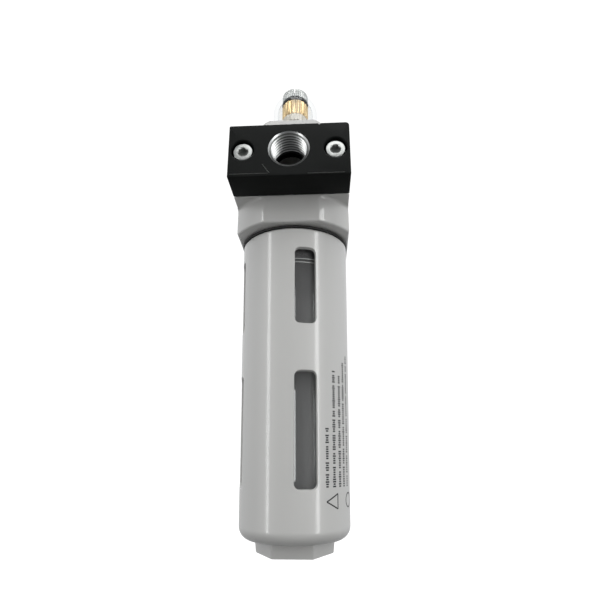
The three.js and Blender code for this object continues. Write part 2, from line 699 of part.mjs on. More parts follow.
// One port end: its plate, the seal behind it and two screws. The rear end is the front one turned round.
function portEnd(side, turn) {
  const end = new THREE.Group();
  end.rotation.z = turn;
  place(`${side}_port_plate`, portPlate(), blackPaint, end);
  const sealY = -BODY.halfY - PORT_SEAL.squeeze + PORT_SEAL.thick / 2;
  place(`${side}_port_oring`, portSeal(), rubber, end).position.set(0, sealY, PORT.z);
  for (const [hand, x] of [["left", -SCREW.x], ["right", SCREW.x]]) {
    const screw = place(`${side}_plate_screw_${hand}`, capScrew(), zincSteel, end);
    screw.rotation.x = Math.PI / 2;
    screw.position.set(x, -(BODY.halfY + GAP + PLATE.thick) + SCREW.sink, PORT.z);
  }
  lubricator.add(end);
}
portEnd("front", 0);
portEnd("rear", Math.PI);

place("bowl_guard", bowlGuard(), greyPaint);
place("guard_ring", ring(RING.inR, RING.outR, RING.z0, RING.z1), rubber);
place("bowl", bowl(), clearPlastic);
place("bowl_oring", bowlSeal(), rubber);

place("mist_baffle", mistBaffle(), blackPlastic);
for (const [side, y] of [["front", -BAFFLE.screwY], ["rear", BAFFLE.screwY]]) {
  place(`baffle_screw_${side}`, panScrew(), zincSteel).position.set(BAFFLE.screwX, y, BAFFLE.discZ - SLIP);
}

const pickup = new THREE.Group();
pickup.position.x = PICKUP_X;
lubricator.add(pickup);
place("pickup_fitting", pickupFitting(), brass, pickup);
place("pickup_tube", pickupTube(), whitePlastic, pickup);
place("pickup_strainer", strainer(), bronze, pickup);
place("check_ball", toSolid(new THREE.SphereGeometry(BALL.r, 16, 12)), zincSteel, pickup).position.z = BALL.z;

place("flow_insert", flowInsert(), blackPlastic);
place("damper_flap", damperFlap(), rubber);
place("flap_pin", flapPin(), zincSteel);

place("drip_base", dripBase(), whitePlastic);
place("riser_tube", riserTube(), brass);
place("sight_dome", sightDome(), clearPlastic);
place("dome_oring", domeSeal(), rubber);
place("metering_body", meteringBody(), brass);
place("metering_oring", meteringSeal(), rubber);
place("metering_screw", meteringScrew(), zincSteel);
place("needle", needle(), zincSteel);
place("drip_nozzle", dripNozzle(), whitePlastic);

const filler = new THREE.Group();
filler.position.set(FILLER.x, FILLER.y, 0);
lubricator.add(filler);
place("filler_plug", fillerPlug(), blackPlastic, filler);
place("filler_oring", fillerSeal(), rubber, filler);

export default lubricator;
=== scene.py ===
"""Looks for the compressed-air lubricator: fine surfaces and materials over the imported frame, in metres."""

import json
import math
import random

import bmesh
import bpy
from mathutils import Matrix, Vector

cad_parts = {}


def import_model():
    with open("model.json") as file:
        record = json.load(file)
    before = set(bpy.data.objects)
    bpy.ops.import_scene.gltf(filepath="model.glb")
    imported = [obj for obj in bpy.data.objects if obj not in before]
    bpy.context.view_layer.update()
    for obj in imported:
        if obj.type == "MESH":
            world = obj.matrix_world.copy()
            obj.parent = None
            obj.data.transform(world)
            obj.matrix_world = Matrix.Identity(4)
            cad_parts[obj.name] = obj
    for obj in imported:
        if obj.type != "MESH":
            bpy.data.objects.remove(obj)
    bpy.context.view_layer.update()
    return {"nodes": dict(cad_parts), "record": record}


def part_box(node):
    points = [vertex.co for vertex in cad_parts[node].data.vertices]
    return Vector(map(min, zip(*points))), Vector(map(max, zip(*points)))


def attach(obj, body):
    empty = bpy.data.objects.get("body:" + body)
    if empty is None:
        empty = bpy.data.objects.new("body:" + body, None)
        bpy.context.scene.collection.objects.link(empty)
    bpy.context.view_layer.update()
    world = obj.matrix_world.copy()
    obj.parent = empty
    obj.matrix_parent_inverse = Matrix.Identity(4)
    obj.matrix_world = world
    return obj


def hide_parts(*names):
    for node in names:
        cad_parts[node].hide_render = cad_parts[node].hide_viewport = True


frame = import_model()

SIZE = 0.79  # lengths are drawn for the 3/8 inch port size, and the part is the 1/4 inch one
MM = 0.001 * SIZE  # one drawn millimetre, in metres
FINE = 256  # segments round a large visible piece
MEDIUM = 96  # segments round a small one
SHARP = math.radians(32)  # edges steeper than this stay sharp
OVER = 1  # how far a cutter runs past the face it opens
HIDDEN = 1e-6  # anything smaller than this counts as nothing
SAME_PLACE = 1e-7  # points closer than this, in metres, are one point

RECORD = frame["record"]
BODY_OF = {node: body for body, nodes in RECORD["behaviour"]["bodies"].items() for node in nodes}
SLOT_OF = {entry["node"]: entry["material_slot"] for entry in RECORD["subparts"]}


def box_mm(node):
    """The lowest and highest corners of a CAD node, in drawn millimetres."""
    low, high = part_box(node)
    return Vector(low) / MM, Vector(high) / MM


def middle(node):
    low, high = box_mm(node)
    return (low + high) / 2


# ---------------------------------------------------------------- driving dimensions, drawn millimetres

HOUSING_LOW, HOUSING_HIGH = box_mm("housing")
PLATE_LOW, PLATE_HIGH = box_mm("front_port_plate")
GUARD_HIGH = box_mm("bowl_guard")[1]
SEAL_GAP = 0.15  # between an O-ring and the faces that hold it
JOIN = 0.05  # how far a shape reaches into the one it is joined to

HALF_X, HALF_Y = HOUSING_HIGH.x, HOUSING_HIGH.y
TRIM_R = 30.5  # the circle that trims the housing's corners
COLLAR_Z, BLOCK_Z, BOSS_Z = HOUSING_LOW.z, PLATE_LOW.z, HOUSING_HIGH.z
SHOULDER_Z = PLATE_HIGH.z + 0.9
DECK_Z = 184
EDGE = {  # radii of the casting's rounded edges
    "collar": 1,
    "flare": 1.5,
    "corner": 1.2,
    "block": 0.5,
    "shoulder": 0.8,
    "deck": 1.2,
    "bridge": 1,
    "boss": 0.7,
    "seat": 0.6,
}
BRIDGE = {"top": 188.2, "half": 10.5, "slope": 1.95}
BOSS = {"r": 15.5, "socket_r": 11.8, "socket_z": 186, "seal_r": 13.5, "seal_z": 193.5}
CAVITY = {"r": 24.1, "z": 149.4, "mouth": 0.5}
CHANNEL_R = 7.6
FILLER = {"seat_r": 7.2, "hole_r": 5.1, "hole_z": 178}

PORT_Z = middle("front_plate_screw_left").z
THREAD = {
    "major": 8.33,
    "depth": 0.95,
    "pitch": 1.337 / SIZE,
    "flat": 0.07,  # half width of a crest, as a share of the pitch
    "flank": 0.4,  # width of a flank, as a share of the pitch
    "painted_shade_share": 0.6,  # share of the groove's depth that gets painted shade
    "length": 12.6,
    "mouth": 8.9,
    "passage": 7,
}
PLATE_EDGE = {"foot": 0.5, "left": 0.6, "right": 1.5, "bevel": 0.4}
SINK = {"r": 5, "hole_r": 2.65, "floor": 5.3, "edge": 0.35, "fillet": 0.3}
NOTCH = {"x": 13.2, "half": 0.65, "depth": 0.7}
GROOVE = {"width": 0.5, "depth": 0.3, "proud": 0.1}
LINES = {"left": (-25, -8.6), "right": (7.9, 23.4), "rise": 1.4, "step": 0.6}
BARB = {"start": (-11.3, 4.6), "end": (-8.1, 0.1)}  # from the left line
SCREW = {
    "head_r": 4.25,
    "head_h": 5,
    "rim": 0.45,
    "foot": 0.3,
    "shank_r": 2.5,
    "length": 25,
    "point": 0.5,
    "key": 4,
    "key_depth": 2.6,
    "lead": 0.5,
    "knurls": 36,
    "knurl": 0.16,
}
KEY_TURN = {"left": 0.35, "right": 0.1}

CORNER = {"r": 15.2, "z": 13.3}  # centre of the rounded foot that the guard and the bowl share
GUARD = {
    "low_r": 22.7,
    "low_z": 10.4,
    "top_r": GUARD_HIGH.x,
    "top_z": 132.35,
    "wall": 1.7,
    "foot_r": 17.5,
    "corner_r": 5.5,
    "floor_z": 7.8,
    "taper_z": 126,
    "shoulder_z": 129,
    "neck_r": 23.7,
    "neck_in_r": 22,
}
LIP = {"width": 0.4, "height": 0.5}  # chamfer round the top of the guard's wall
HEX = {"r": 16, "h": 5.2, "corner": 1.2, "recess_r": 13, "recess": 0.4, "drain_r": 5, "drain_edge": 0.4}
HEX_LEVELS = ((0.97, 0), (0.985, 0.15), (0.992, 0.5))  # its softened lower edge: share of the size, height
HEX_TOP = {"share": 1.03, "sunk": 0.6}  # the same at its top, and how far that reaches into the guard
SLOT = {
    "turn": math.radians(14.3),
    "width": 9.1,
    "r": 2.2,
    "chamfer": 0.45,
    "reach": 10,
    "spans": ((24.7, 69), (89.2, 122.9)),
}
BOWL = {
    "low_r": 20.1,
    "wall": 2.3,
    "neck_r": 21.6,
    "neck_z": 128,
    "flange_r": 23.4,
    "flange_z": 143.4,
    "flange_top": 146,
    "spigot_r": 20,
    "seat_r": 17.9,
    "seat_z": 143,
    "taper_r": 19.3,
    "taper_z": 139,
    "well_r": 14,
    "well_z": 14.5,
}
RIB = {"at": (117.5, 119.1), "height": 0.2, "width": 0.55}
RING_WIDTH = {
    "guard_ring": 1.45,
    "bowl_oring": 2.95,
    "dome_oring": 1.7,
    "metering_oring": 1.8,
    "filler_oring": 1.35,
}

TICK = {
    "width": 0.58,
    "step": 0.85,
    "halves": (0.34, 0.38, 0.5),  # half heights of the ticks, as shares of the row's height
    "first_group": (4, 10),
    "group": (3, 11),
}
ROW_FOOT = 25.5
ROWS = (  # degrees from the front, top, height of its ticks
    (36.5, 47, 1.7),
    (45.5, 70.5, 1.7),
    (54, 69, 1.7),
    (61.5, 75, 1.6),
    (69.5, 78, 1.5),
)
TRIANGLE = ((35.5, 20.2), (50, 17.5), (50, 22.9))  # (degrees from the front, height)
CIRCLE = {"turn": 72, "z": 20.2, "half_turn": 6.5, "half_z": 2.6, "sides": 20}
INK = {"line": 0.5, "sunk": 0.05, "proud": 0.025, "bend": 3}  # bend: the most degrees that one body spans

DOME = {
    "r": 12,
    "wall": 2.4,
    "arc_r": 8.9,
    "arc_z": 215,
    "neck_r": 7.4,
    "spigot_r": 11.5,
    "rest": 0.3,
    "flange_r": 13.6,
    "flange_z": 197,
    "flange_edge": (0.4, 0.6),
    "foot_edge": (0.5, 0.4),
    "shoulder_z": 198,
}
METER = {
    "flutes": 20,
    "depth": 0.8,
    "margin": 0.3,
    "edge": 0.6,
    "valve_r": 1.5,
    "valve_z": 214,
    "bore_r": 2.05,
}
HEAD = {
    "stem_r": 1.9,
    "bore_r": 1.4,
    "bore_z": 218.2,
    "edge": 1.3,
    "foot": 0.4,
    "notch": 0.8,
    "notch_depth": 1.9,
    "knurls": 40,
    "knurl": 0.3,
}
PLUG = {"play": 0.2, "edge": 0.6, "foot": 0.3, "key": 6, "key_depth": 3, "knurls": 30, "knurl": 0.25}

# ---------------------------------------------------------------- outlines


def polar(r, angle):
    """The point at a radius and an angle in radians."""
    return (r * math.cos(angle), r * math.sin(angle))


def arc(centre, r, start, end, steps):
    """Points on a circular arc in a plane, angles in degrees."""
    turns = [math.radians(start + (end - start) * i / steps) for i in range(steps + 1)]
    return [(centre[0] + r * math.cos(a), centre[1] + r * math.sin(a)) for a in turns]


def hexagon(across_flats, turn=0):
    return [polar(across_flats / math.sqrt(3), math.radians(60 * i) + turn) for i in range(6)]


def filleted(corners, steps=6):
    """A closed outline. A corner is (u, v), or (u, v, fillet radius)."""
    outline = []
    count = len(corners)
    for i, corner in enumerate(corners):
        point = Vector(corner[:2])
        if len(corner) == 2:
            outline.append(tuple(point))
            continue
        back = (Vector(corners[i - 1][:2]) - point).normalized()
        ahead = (Vector(corners[(i + 1) % count][:2]) - point).normalized()
        half = back.angle(ahead) / 2
        reach = corner[2] / math.tan(half)
        centre = point + (back + ahead).normalized() * corner[2] / math.sin(half)
        start = point + back * reach - centre
        sweep = start.angle_signed(point + ahead * reach - centre)
        for step in range(steps + 1):
            turn = Matrix.Rotation(-sweep * step / steps, 2)
            outline.append(tuple(centre + turn @ start))
    return outline


def rounded_rectangle(half_u, half_v, r, steps=8):
    signs = ((1, -1), (1, 1), (-1, 1), (-1, -1))
    return filleted([(u * half_u, v * half_v, r) for u, v in signs], steps)


def trimmed_outline(inset, flare=0):
    """The housing's footprint: a rectangle whose corners are trimmed to a circle, moved in by inset."""
    half_x, half_y, r = HALF_X - inset, HALF_Y - inset, TRIM_R - inset + flare
    corners = [math.acos(HALF_X / TRIM_R), math.asin(HALF_Y / TRIM_R)]
    exact = [quarter * math.pi / 2 + c for quarter in (0, 2) for c in corners]
    exact += [math.pi * side - c for side in (1, 2) for c in corners]
    angles = sorted([2 * math.pi * i / FINE for i in range(FINE)] + exact)
    outline = []
    for a in angles:
        reach = min(r, half_x / max(abs(math.cos(a)), HIDDEN), half_y / max(abs(math.sin(a)), HIDDEN))
        outline.append(polar(reach, a))
    return outline


# ---------------------------------------------------------------- meshes


def mesh_object(name, points, faces):
    """A mesh object from points in drawn millimetres."""
    mesh = bpy.data.meshes.new(name)
    mesh.from_pydata([tuple(c * MM for c in p) for p in points], [], faces)
    mesh.validate()
    obj = bpy.data.objects.new(name, mesh)
    bpy.context.scene.collection.objects.link(obj)
    return obj


def skin(name, rings, closed=False):
    """A closed body through rings of points. The first and last rings are capped, or joined if closed."""
    size = len(rings[0])
    points = [p for ring in rings for p in ring]
    spans = len(rings) if closed else len(rings) - 1
    faces = []
    for i in range(spans):
        here, there = i * size, (i + 1) % len(rings) * size
        for j in range(size):
            k = (j + 1) % size
            faces.append((here + j, here + k, there + k, there + j))
    if not closed:
        faces.append(tuple(reversed(range(size))))
        faces.append(tuple(range((len(rings) - 1) * size, len(rings) * size)))
    obj = mesh_object(name, points, faces)
    face_outwards(obj)
    return obj


def face_outwards(obj):
    """Turns every face of a closed mesh to point out of it."""
    work = bmesh.new()
    work.from_mesh(obj.data)
    bmesh.ops.remove_doubles(work, verts=work.verts, dist=SAME_PLACE)
    bmesh.ops.recalc_face_normals(work, faces=work.faces)
    if work.calc_volume(signed=True) < 0:
        bmesh.ops.reverse_faces(work, faces=work.faces)
    work.to_mesh(obj.data)
    work.free()


def lathe(name, outline, segments=FINE, wobble=None):
    """A (radius, height) outline turned about Z: closed on itself, or starting and ending on the axis.

    wobble(angle, height) is added to the radius, for flutes and knurls.
    """
    closed = outline[0][0] > 0
    turns = [2 * math.pi * j / segments for j in range(segments)]
    rings = []
    for r, z in outline if closed else outline[1:-1]:
        rings.append([(*polar(r + (wobble(a, z) if wobble else 0), a), z) for a in turns])
    return skin(name, rings, closed)


def prism(name, outline, low, high):
    """An (x, y) outline from one height to another."""
    return sweep_levels(name, [(outline, low), (outline, high)])


def sweep_levels(name, levels):
    """A body through (outline, height) levels."""
    return skin(name, [[(x, y, z) for x, y in outline] for outline, z in levels])


def move(obj, matrix):
    obj.data.transform(matrix)
    return obj


def shift(x, y, z):
    return Matrix.Translation(Vector((x, y, z)) * MM)


# Lays a shape made along +Z down so that its +Z points to -Y.
TO_FRONT = Matrix.Rotation(math.pi / 2, 4, "X")


def combine(target, others, operation="DIFFERENCE"):
    """Cuts others from target, or joins them to it, and removes them."""
    for other in others:
        modifier = target.modifiers.new("combine", "BOOLEAN")
        modifier.operation = operation
        modifier.solver = "EXACT"
        modifier.material_mode = "TRANSFER"
        modifier.object = other
    evaluated = target.evaluated_get(bpy.context.evaluated_depsgraph_get())
    mesh = bpy.data.meshes.new_from_object(evaluated)
    target.modifiers.clear()
    target.data = mesh
    for other in others:
        bpy.data.objects.remove(other)
    return target


def smooth(mesh):
    mesh.polygons.foreach_set("use_smooth", [True] * len(mesh.polygons))
    mesh.set_sharp_from_angle(angle=SHARP)


def finish_piece(obj, node):
    """Puts a piece in place of its CAD node, on its body, with smooth shading."""
    smooth(obj.data)
    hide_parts(node)
    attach(obj, BODY_OF[node])
    return obj


def paint_piece(obj, material):
    """Gives one material to a piece. Joining and cutting leave an empty slot on a piece that had none."""
    obj.data.materials.clear()
    obj.data.materials.append(material)
    return obj


def paint_faces(obj, material, chosen):
    """Gives another material to the faces whose corners all pass a test of (radius, height)."""
    obj.data.materials.append(material)
    for face in obj.data.polygons:
        corners = [obj.data.vertices[i].co / MM for i in face.vertices]
        if all(chosen(math.hypot(p.x, p.y), p.z) for p in corners):
            face.material_index = len(obj.data.materials) - 1
    return obj


# ---------------------------------------------------------------- materials

VARIES = 0.12  # share by which a surface's roughness varies
COAT_SHARE = 0.3  # a coat's roughness, as a share of its surface's
WHITE = (1, 1, 1, 1)
HAZE_COLOUR = (0.6, 0.6, 0.6, 1)
FLOW = {"size": 6, "height": 0.04, "stretch": (1, 1, 0.25), "ior": 1.5}  # marks in a moulded clear wall


class Nodes:
    """Adds nodes to a material and links them."""

    def __init__(self, name):
        self.material = bpy.data.materials.new(name)
        self.material.use_nodes = True
        self.tree = self.material.node_tree
        self.tree.nodes.clear()
        self.output = self.add("ShaderNodeOutputMaterial")

    def add(self, kind, **values):
        node = self.tree.nodes.new(kind)
        for key, value in values.items():
            if key in node.inputs:
                node.inputs[key].default_value = value
            else:
                setattr(node, key, value)
        return node

    def link(self, source, target):
        self.tree.links.new(source, target)

    def noise(self, size_mm, detail=3.0, stretch=(1, 1, 1)):
        """Noise whose features are about size_mm across, in the object's own coordinates."""
        place = self.add("ShaderNodeTexCoord")
        mapping = self.add("ShaderNodeMapping", Scale=Vector(stretch))
        self.link(place.outputs["Object"], mapping.inputs["Vector"])
        noise = self.add("ShaderNodeTexNoise", Scale=1 / (size_mm * MM), Detail=detail)
        self.link(mapping.outputs["Vector"], noise.inputs["Vector"])
        return noise.outputs["Fac"]

    def spread(self, source, low, high):
        """Maps a 0.3 to 0.7 signal to the range low to high."""
        node = self.add("ShaderNodeMapRange")
        node.inputs["From Min"].default_value = 0.3
        node.inputs["From Max"].default_value = 0.7
        node.inputs["To Min"].default_value = low
        node.inputs["To Max"].default_value = high
        self.link(source, node.inputs["Value"])
        return node.outputs["Result"]

    def tinted(self, source, dark, light):
        """A colour between dark and light."""
        ramp = self.add("ShaderNodeValToRGB")
        ramp.color_ramp.elements[0].color = (*dark, 1)
        ramp.color_ramp.elements[1].color = (*light, 1)
        self.link(source, ramp.inputs["Fac"])
        return ramp.outputs["Color"]

    def bump(self, source, height_mm, edge_mm=0):
        bump = self.add("ShaderNodeBump", Strength=1.0, Distance=height_mm * MM)
        self.link(source, bump.inputs["Height"])
        if edge_mm:
            bevel = self.add("ShaderNodeBevel", Radius=edge_mm * MM)
            self.link(bevel.outputs["Normal"], bump.inputs["Normal"])
        return bump.outputs["Normal"]


def shade(base, amount):
    return tuple(max(0.0, min(1.0, c * amount)) for c in base)


def coated(name, colour, roughness, metallic, mottle, grain, **extra):
    """A solid surface. mottle is its colour variation's (size, depth), grain its bumps' (size, height).

    extra: edge, the radius its edges seem to have; coat and specular weights; stretch of the grain.
    """
    nodes = Nodes(name)
    shader = nodes.add("ShaderNodeBsdfPrincipled", Metallic=metallic)
    broad = nodes.noise(mottle[0])
    fine = nodes.noise(grain[0], detail=2.0, stretch=extra.get("stretch", (1, 1, 1)))
    dark, light = shade(colour, 1 - mottle[1]), shade(colour, 1 + mottle[1])
    nodes.link(nodes.tinted(broad, dark, light), shader.inputs["Base Color"])
    low, high = roughness * (1 - VARIES), roughness * (1 + VARIES)
    nodes.link(nodes.spread(fine, low, high), shader.inputs["Roughness"])
    nodes.link(nodes.bump(fine, grain[1], extra.get("edge", 0)), shader.inputs["Normal"])
    shader.inputs["Specular IOR Level"].default_value = extra.get("specular", 0.5)
    shader.inputs["Coat Weight"].default_value = extra.get("coat", 0)
    shader.inputs["Coat Roughness"].default_value = roughness * COAT_SHARE
    nodes.link(shader.outputs["BSDF"], nodes.output.inputs["Surface"])
    return nodes.material


def clear(name, tint, gloss, haze):
    """Clear plastic: see-through straight on, reflecting at a glance, with faint flow marks and haze."""
    nodes = Nodes(name)
    through = nodes.add("ShaderNodeBsdfTransparent", Color=(*tint, 1))
    cloud = nodes.add("ShaderNodeBsdfDiffuse", Color=HAZE_COLOUR)
    body = nodes.add("ShaderNodeMixShader", Fac=haze)
    nodes.link(through.outputs["BSDF"], body.inputs[1])
    nodes.link(cloud.outputs["BSDF"], body.inputs[2])
    shine = nodes.add("ShaderNodeBsdfGlossy", Roughness=gloss, Color=WHITE)
    flow = nodes.noise(FLOW["size"], detail=1.0, stretch=FLOW["stretch"])
    nodes.link(nodes.bump(flow, FLOW["height"]), shine.inputs["Normal"])
    fresnel = nodes.add("ShaderNodeFresnel", IOR=FLOW["ior"])
    nodes.link(nodes.bump(flow, FLOW["height"]), fresnel.inputs["Normal"])
    facing = nodes.add("ShaderNodeNewGeometry")
    outer = nodes.add("ShaderNodeMath", operation="SUBTRACT")
    outer.inputs[0].default_value = 1
    nodes.link(facing.outputs["Backfacing"], outer.inputs[1])
    share = nodes.add("ShaderNodeMath", operation="MULTIPLY")
    nodes.link(fresnel.outputs["Fac"], share.inputs[0])
    nodes.link(outer.outputs["Value"], share.inputs[1])
    mix = nodes.add("ShaderNodeMixShader")
    nodes.link(share.outputs["Value"], mix.inputs["Fac"])
    nodes.link(body.outputs["Shader"], mix.inputs[1])
    nodes.link(shine.outputs["BSDF"], mix.inputs[2])
    nodes.link(mix.outputs["Shader"], nodes.output.inputs["Surface"])
    return nodes.material


# In each line: colour, roughness, metallic, mottle, grain.
LOOKS = {
    "grey_paint": coated(
        "grey_paint_look", (0.56, 0.56, 0.545), 0.42, 0, (25, 0.02), (0.8, 0.006),
        edge=0.25, coat=0.6),
    "black_paint": coated(
        "black_paint_look", (0.0085, 0.0095, 0.009), 0.45, 0, (8, 0.2), (0.25, 0.006),
        edge=0.2, specular=0.07),
    "zinc_steel": coated(
        "zinc_look", (0.52, 0.535, 0.52), 0.36, 0.9, (2, 0.15), (0.25, 0.002),
        edge=0.08),
    "rubber": coated("rubber_look", (0.012, 0.012, 0.012), 0.6, 0, (3, 0.15), (0.15, 0.01)),
    "clear_plastic": clear("clear_look", (0.95, 0.955, 0.955), gloss=0.04, haze=0),
    "bowl_plastic": clear("bowl_look", (0.88, 0.885, 0.885), gloss=0.06, haze=0.1),
    "brass": coated(
        "brass_look", (0.88, 0.66, 0.36), 0.3, 0.85, (3, 0.08), (0.2, 0.002),
        edge=0.06),
    "bronze": coated("bronze_look", (0.45, 0.32, 0.17), 0.7, 0.7, (0.6, 0.3), (0.35, 0.08)),
    "black_plastic": coated(
        "black_plastic_look", (0.02, 0.02, 0.021), 0.5, 0, (5, 0.15), (0.2, 0.01),
        edge=0.15),
    "white_plastic": coated(
        "white_plastic_look", (0.85, 0.8, 0.7), 0.4, 0, (6, 0.03), (0.3, 0.006),
        edge=0.1),
}
MACHINED = coated(
    "machined_look", (0.5, 0.51, 0.505), 0.32, 1, (1.5, 0.1), (0.3, 0.0015),
    stretch=(1, 4, 1))
# Painted shade: a dark metal laid into the thread roots, where shade falls between the crests.
THREAD_ROOT_SHADE = coated("root_painted_shade_look", (0.12, 0.125, 0.12), 0.4, 0.8, (1.5, 0.15), (0.2, 0.002))
# Painted highlight: a lighter grey on the bowl's two ribs, standing in for the light caught by their edges.
RIB_HIGHLIGHT = coated("rib_painted_highlight_look", (0.3, 0.31, 0.3), 0.5, 0, (3, 0.3), (0.2, 0.01))
# Painted shade: a darker metal for key sockets and notches, where shade falls inside them.
RECESS_SHADE = coated("recess_painted_shade_look", (0.34, 0.35, 0.34), 0.4, 0.8, (1.5, 0.15), (0.2, 0.002))
PRINT = coated("print_look", (0.02, 0.02, 0.021), 0.5, 0, (1.5, 0.2), (0.2, 0.003))
ENGRAVED = coated("engraved_look", (0.11, 0.115, 0.11), 0.45, 0, (1.5, 0.3), (0.2, 0.01))

# ---------------------------------------------------------------- housing


def bottom_fillet(outline, z, r, steps=6):
    """(outline, height) levels that round a bottom edge. outline(inset) is the shape moved in by inset."""
    turns = [math.radians(90 * i / steps) for i in range(steps + 1)]
    return [(outline(r * (1 - math.sin(a))), z + r * (1 - math.cos(a))) for a in turns]


def top_fillet(outline, z, r, steps=6):
    """The same for a top edge."""
    turns = [math.radians(90 * i / steps) for i in range(steps + 1)]
    return [(outline(r * (1 - math.cos(a))), z - r * (1 - math.sin(a))) for a in turns]


def block_outline(inset):
    return rounded_rectangle(HALF_X - inset, HALF_Y - inset, EDGE["corner"])


def collar():
    """The round lower part, flaring into the block above it by a small fillet."""
    steps, flare = 6, EDGE["flare"]
    levels = bottom_fillet(trimmed_outline, COLLAR_Z, EDGE["collar"])
    for i in range(steps + 1):
        a = math.radians(90 * i / steps)
        outline = trimmed_outline(0, flare * (1 - math.cos(a)))
        levels.append((outline, BLOCK_Z + JOIN - flare * (1 - math.sin(a))))
    return sweep_levels("collar", levels)


def bridge():
    """The raised deck under the boss, with sloped flanks, cut to the housing's circle."""
    top, half, r = BRIDGE["top"], BRIDGE["half"], EDGE["bridge"]
    foot = half + BRIDGE["slope"] * (top - DECK_Z)
    low = DECK_Z - OVER
    section = filleted([
        (-foot, low), (foot, low), (foot, DECK_Z), (half, top, r), (-half, top, r), (-foot, DECK_Z)])
    deck = skin("bridge", [[(x, y, z) for x, z in section] for y in (-HALF_Y, HALF_Y)])
    return combine(deck, [prism("round", trimmed_outline(0), low - OVER, top + OVER)], "INTERSECT")


def boss(name, r, low, top, edge):
    """A round boss with a softened top edge."""
    return lathe(name, filleted([(0, low), (r, low), (r, top, edge), (0, top)]))


def hollow(name, levels):
    """A stepped round cutter from (radius, height) corners."""
    return lathe(name, [(0, levels[0][1])] + levels + [(0, levels[-1][1])])


def housing_cutters(seat_z, plug):
    """What the bowl, the dome, the air channel and the filler plug take out of the casting."""
    r, mouth = CAVITY["r"], CAVITY["mouth"]
    cavity = hollow("cavity", [
        (r + mouth, COLLAR_Z - OVER),
        (r + mouth, COLLAR_Z),
        (r, COLLAR_Z + mouth),
        (r, CAVITY["z"]),
    ])
    socket = hollow("socket", [
        (BOSS["socket_r"], BOSS["socket_z"]),
        (BOSS["socket_r"], BOSS["seal_z"]),
        (BOSS["seal_r"], BOSS["seal_z"]),
        (BOSS["seal_r"], BOSS_Z + OVER),
    ])
    reach = HALF_Y + OVER
    channel = hollow("channel", [(CHANNEL_R, -reach), (CHANNEL_R, reach)])
    hole = hollow("hole", [(FILLER["hole_r"], FILLER["hole_z"]), (FILLER["hole_r"], seat_z + OVER)])
    move(channel, shift(0, 0, PORT_Z) @ TO_FRONT)
    move(hole, shift(plug.x, plug.y, 0))
    return [cavity, socket, channel, hole]


def housing():
    """The casting: collar, block between the plates, shoulder, deck, dome boss and filler boss."""
    plug = middle("filler_plug")
    seat_z = box_mm("filler_oring")[0].z - SEAL_GAP
    levels = bottom_fillet(block_outline, BLOCK_Z, EDGE["block"])
    levels += top_fillet(block_outline, SHOULDER_Z, EDGE["shoulder"])
    block = sweep_levels("housing_cast", levels)
    levels = [(trimmed_outline(0), SHOULDER_Z - OVER)] + top_fillet(trimmed_outline, DECK_Z, EDGE["deck"])
    shoulder = sweep_levels("shoulder", levels)
    dome_boss = boss("boss", BOSS["r"], BRIDGE["top"] - OVER, BOSS_Z, EDGE["boss"])
    seat = boss("seat", FILLER["seat_r"], DECK_Z - OVER, seat_z, EDGE["seat"])
    move(seat, shift(plug.x, plug.y, 0))
    combine(block, [collar(), shoulder, bridge(), dome_boss, seat], "UNION")
    combine(block, housing_cutters(seat_z, plug))
    return finish_piece(paint_piece(block, LOOKS["grey_paint"]), "housing")


# ---------------------------------------------------------------- port plates


def threaded_core():
    """What a tapped hole takes out: V grooves from the chamfered mouth inwards, with painted shade at their
    roots.
    """
    pitch, major, mouth = THREAD["pitch"], THREAD["major"], THREAD["mouth"]
    minor = major - THREAD["depth"]
    middle_r = major - THREAD["depth"] * THREAD["painted_shade_share"]
    lead = mouth - major
    flat, slope = THREAD["flat"] * pitch, THREAD["flank"] * pitch / THREAD["depth"]
    turns = int((THREAD["length"] - lead) / pitch)
    start = -lead - turns * pitch
    outline = [(0, start), (major, start)]
    for i in range(turns):
        crest = start + (i + 0.5) * pitch
        for side in (-1, 1):
            flank = [(r, crest + side * (flat + (r - minor) * slope)) for r in (major, middle_r, minor)]
            outline += flank[::-side]
    outline += [(major, -lead), (mouth, 0), (mouth, OVER), (0, OVER)]
    core = paint_piece(lathe("threaded_core", outline), MACHINED)

    # Faces deep in a groove get the painted shade.
    def in_painted_root_shade(r, z):
        return r > middle_r - JOIN / 2 and z < JOIN / 2 - lead

    return paint_faces(core, THREAD_ROOT_SHADE, in_painted_root_shade)


def groove(name, start, end):
    """A V groove between two (x, z) points of the plate's front face."""
    a, b = Vector(start), Vector(end)
    along = (b - a).normalized()
    across = Vector((-along.y, along.x)) * GROOVE["width"] / 2
    outside, bottom = PLATE_LOW.y - GROOVE["proud"], PLATE_LOW.y + GROOVE["depth"]
    rings = []
    for p in (a, b):
        left, right = p + across, p - across
        rings.append([(left.x, outside, left.y), (right.x, outside, right.y), (p.x, bottom, p.y)])
    return paint_piece(skin(name, rings), ENGRAVED)


def plate_slab():
    """The plate's block: rounded edges, one upper corner rounder, a small notch in the top edge."""
    low, high = PLATE_LOW, PLATE_HIGH
    x, half, depth = NOTCH["x"], NOTCH["half"], NOTCH["depth"]
    foot, bevel = PLATE_EDGE["foot"], PLATE_EDGE["bevel"]
    outline = filleted([
        (low.x, low.z, foot),
        (high.x, low.z, foot),
        (high.x, high.z, PLATE_EDGE["right"]),
        (x + half, high.z),
        (x, high.z - depth),
        (x - half, high.z),
        (low.x, high.z, PLATE_EDGE["left"]),
    ])
    centre = Vector((low.x + high.x, low.z + high.z)) / 2
    half_size = Vector((high.x - low.x, high.z - low.z)) / 2

    def inset(d):
        wide, tall = (half_size.x - d) / half_size.x, (half_size.y - d) / half_size.y
        return [(centre.x + (u - centre.x) * wide, centre.y + (v - centre.y) * tall) for u, v in outline]

    bulge = 0.3 * bevel
    levels = [(bevel, low.y), (bulge, low.y + bulge), (0, low.y + bevel)]
    levels += [(0, high.y - bevel), (bevel, high.y)]
    return skin("front_plate_cast", [[(u, y, v) for u, v in inset(d)] for d, y in levels])


